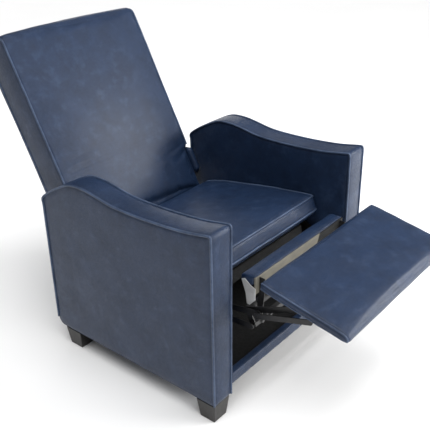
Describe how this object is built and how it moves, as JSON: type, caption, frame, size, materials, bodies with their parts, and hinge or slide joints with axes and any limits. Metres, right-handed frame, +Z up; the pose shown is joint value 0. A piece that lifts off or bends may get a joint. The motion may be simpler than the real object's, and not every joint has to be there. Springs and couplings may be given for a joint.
{
  "type": "recliner armchair",
  "caption": "Push-back recliner armchair in blue leather with curved arms, a leaning flat back and a folding footrest, on tapered wood feet.",
  "frame": {"origin": "on the floor under the middle of the overall box of the reclined chair", "axes": "+Z up, +Y to the rear of the chair, +X to the right as seen from the front, across the arms"},
  "size_m": [0.74, 1.3386, 0.9292],
  "materials": {
    "leather": "semi-gloss grained navy blue bonded leather",
    "frame_timber": "raw sawn softwood and plywood",
    "foot_wood": "satin near-black stained wood",
    "backing_cloth": "beige backing cloth over board",
    "dust_cloth": "black non-woven under-cover",
    "black_steel": "satin black painted steel",
    "plated_steel": "bright zinc plate",
    "spring_steel": "oiled spring wire"
  },
  "bodies": {
    "base": {"arm_cover_left": "leather", "arm_cover_right": "leather", "arm_frame_left": "frame_timber", "arm_frame_right": "frame_timber", "foot_front_left": "foot_wood", "foot_front_right": "foot_wood", "foot_rear_left": "foot_wood", "foot_rear_right": "foot_wood", "base_plate_left": "black_steel", "base_plate_right": "black_steel", "front_rail_cover": "leather", "front_rail": "frame_timber", "rear_rail": "frame_timber", "rear_panel": "leather", "dust_cover": "dust_cloth"},
    "seat": {"seat_cushion": "leather", "seat_rail_front": "frame_timber", "seat_rail_rear": "frame_timber", "seat_rail_left": "frame_timber", "seat_rail_right": "frame_timber", "seat_hinge_plate_left": "black_steel", "seat_hinge_plate_right": "black_steel", "seat_spring_1": "spring_steel", "seat_spring_2": "spring_steel", "seat_spring_3": "spring_steel", "seat_spring_4": "spring_steel"},
    "back": {"back_cushion": "leather", "back_outer_panel": "leather", "back_rail_lower": "frame_timber", "back_rail_upper": "frame_timber", "back_stile_left": "frame_timber", "back_stile_right": "frame_timber", "back_ear_left": "leather", "back_ear_right": "leather", "back_hinge_plate_left": "black_steel", "back_hinge_plate_right": "black_steel"},
    "rear_link_left": {"rear_link_left": "black_steel"},
    "rear_link_right": {"rear_link_right": "black_steel"},
    "lower_links": {"lower_link_left": "black_steel", "lower_link_right": "black_steel", "cross_tube_upper": "black_steel"},
    "upper_links": {"upper_link_left": "black_steel", "upper_link_right": "black_steel", "cross_bar_lower": "black_steel", "flap_board": "backing_cloth", "flap_pad": "leather", "flap_bracket_left": "black_steel", "flap_bracket_right": "black_steel", "flap_end_plate_left": "plated_steel", "flap_end_plate_right": "plated_steel"},
    "drive_link_left": {"drive_link_left": "black_steel"},
    "drive_link_right": {"drive_link_right": "black_steel"},
    "footrest": {"footrest_pad": "leather", "footrest_board": "backing_cloth", "footrest_bracket_left": "black_steel", "footrest_bracket_right": "black_steel"},
    "control_link_left": {"control_link_left": "black_steel"},
    "control_link_right": {"control_link_right": "black_steel"}
  },
  "joints": [
    {"name": "recline", "type": "hinge", "parent": "seat", "child": "back", "pos_m": [0, 0.3216, 0.34351], "axis": [1, 0, 0], "range_deg": [0, 12]},
    {"name": "seat_tilt", "type": "hinge", "parent": "base", "child": "seat", "pos_m": [0, -0.13725, 0.312], "axis": [1, 0, 0], "range_deg": [0, 5.51]},
    {"name": "rear_link_left_turn", "type": "hinge", "parent": "base", "child": "rear_link_left", "pos_m": [0, 0.26175, 0.315], "axis": [1, 0, 0], "range_deg": [0, 43.36]},
    {"name": "rear_link_right_turn", "type": "hinge", "parent": "base", "child": "rear_link_right", "pos_m": [0, 0.26175, 0.315], "axis": [1, 0, 0], "range_deg": [0, 43.36]},
    {"name": "footrest_fold", "type": "hinge", "parent": "base", "child": "lower_links", "pos_m": [0, -0.18525, 0.293], "axis": [1, 0, 0], "range_deg": [0, 95.58]},
    {"name": "upper_link_turn", "type": "hinge", "parent": "lower_links", "child": "upper_links", "pos_m": [0, -0.32725, 0.315], "axis": [1, 0, 0], "range_deg": [-139.81, 0]},
    {"name": "footrest_tilt", "type": "hinge", "parent": "upper_links", "child": "footrest", "pos_m": [0, -0.49277, 0.38204], "axis": [1, 0, 0], "range_deg": [0, 123.23]},
    {"name": "drive_link_left_turn", "type": "hinge", "parent": "base", "child": "drive_link_left", "pos_m": [0, -0.21413, 0.26828], "axis": [1, 0, 0], "range_deg": [0, 84.32]},
    {"name": "drive_link_right_turn", "type": "hinge", "parent": "base", "child": "drive_link_right", "pos_m": [0, -0.21413, 0.26828], "axis": [1, 0, 0], "range_deg": [0, 84.32]},
    {"name": "control_link_left_turn", "type": "hinge", "parent": "lower_links", "child": "control_link_left", "pos_m": [0, -0.36875, 0.32143], "axis": [1, 0, 0], "range_deg": [-144.95, 0]},
    {"name": "control_link_right_turn", "type": "hinge", "parent": "lower_links", "child": "control_link_right", "pos_m": [0, -0.36875, 0.32143], "axis": [1, 0, 0], "range_deg": [-144.95, 0]}
  ],
  "couplings": [
    {"joint": "seat_tilt", "follows": "recline", "ratio": 0.4583},
    {"joint": "rear_link_left_turn", "follows": "recline", "ratio": 3.6121},
    {"joint": "rear_link_right_turn", "follows": "recline", "ratio": 3.6121},
    {"joint": "upper_link_turn", "follows": "footrest_fold", "ratio": -1.4625},
    {"joint": "footrest_tilt", "follows": "footrest_fold", "ratio": 1.289},
    {"joint": "drive_link_left_turn", "follows": "footrest_fold", "ratio": 0.882},
    {"joint": "drive_link_right_turn", "follows": "footrest_fold", "ratio": 0.882},
    {"joint": "control_link_left_turn", "follows": "footrest_fold", "ratio": -1.5164},
    {"joint": "control_link_right_turn", "follows": "footrest_fold", "ratio": -1.5164}
  ]
}
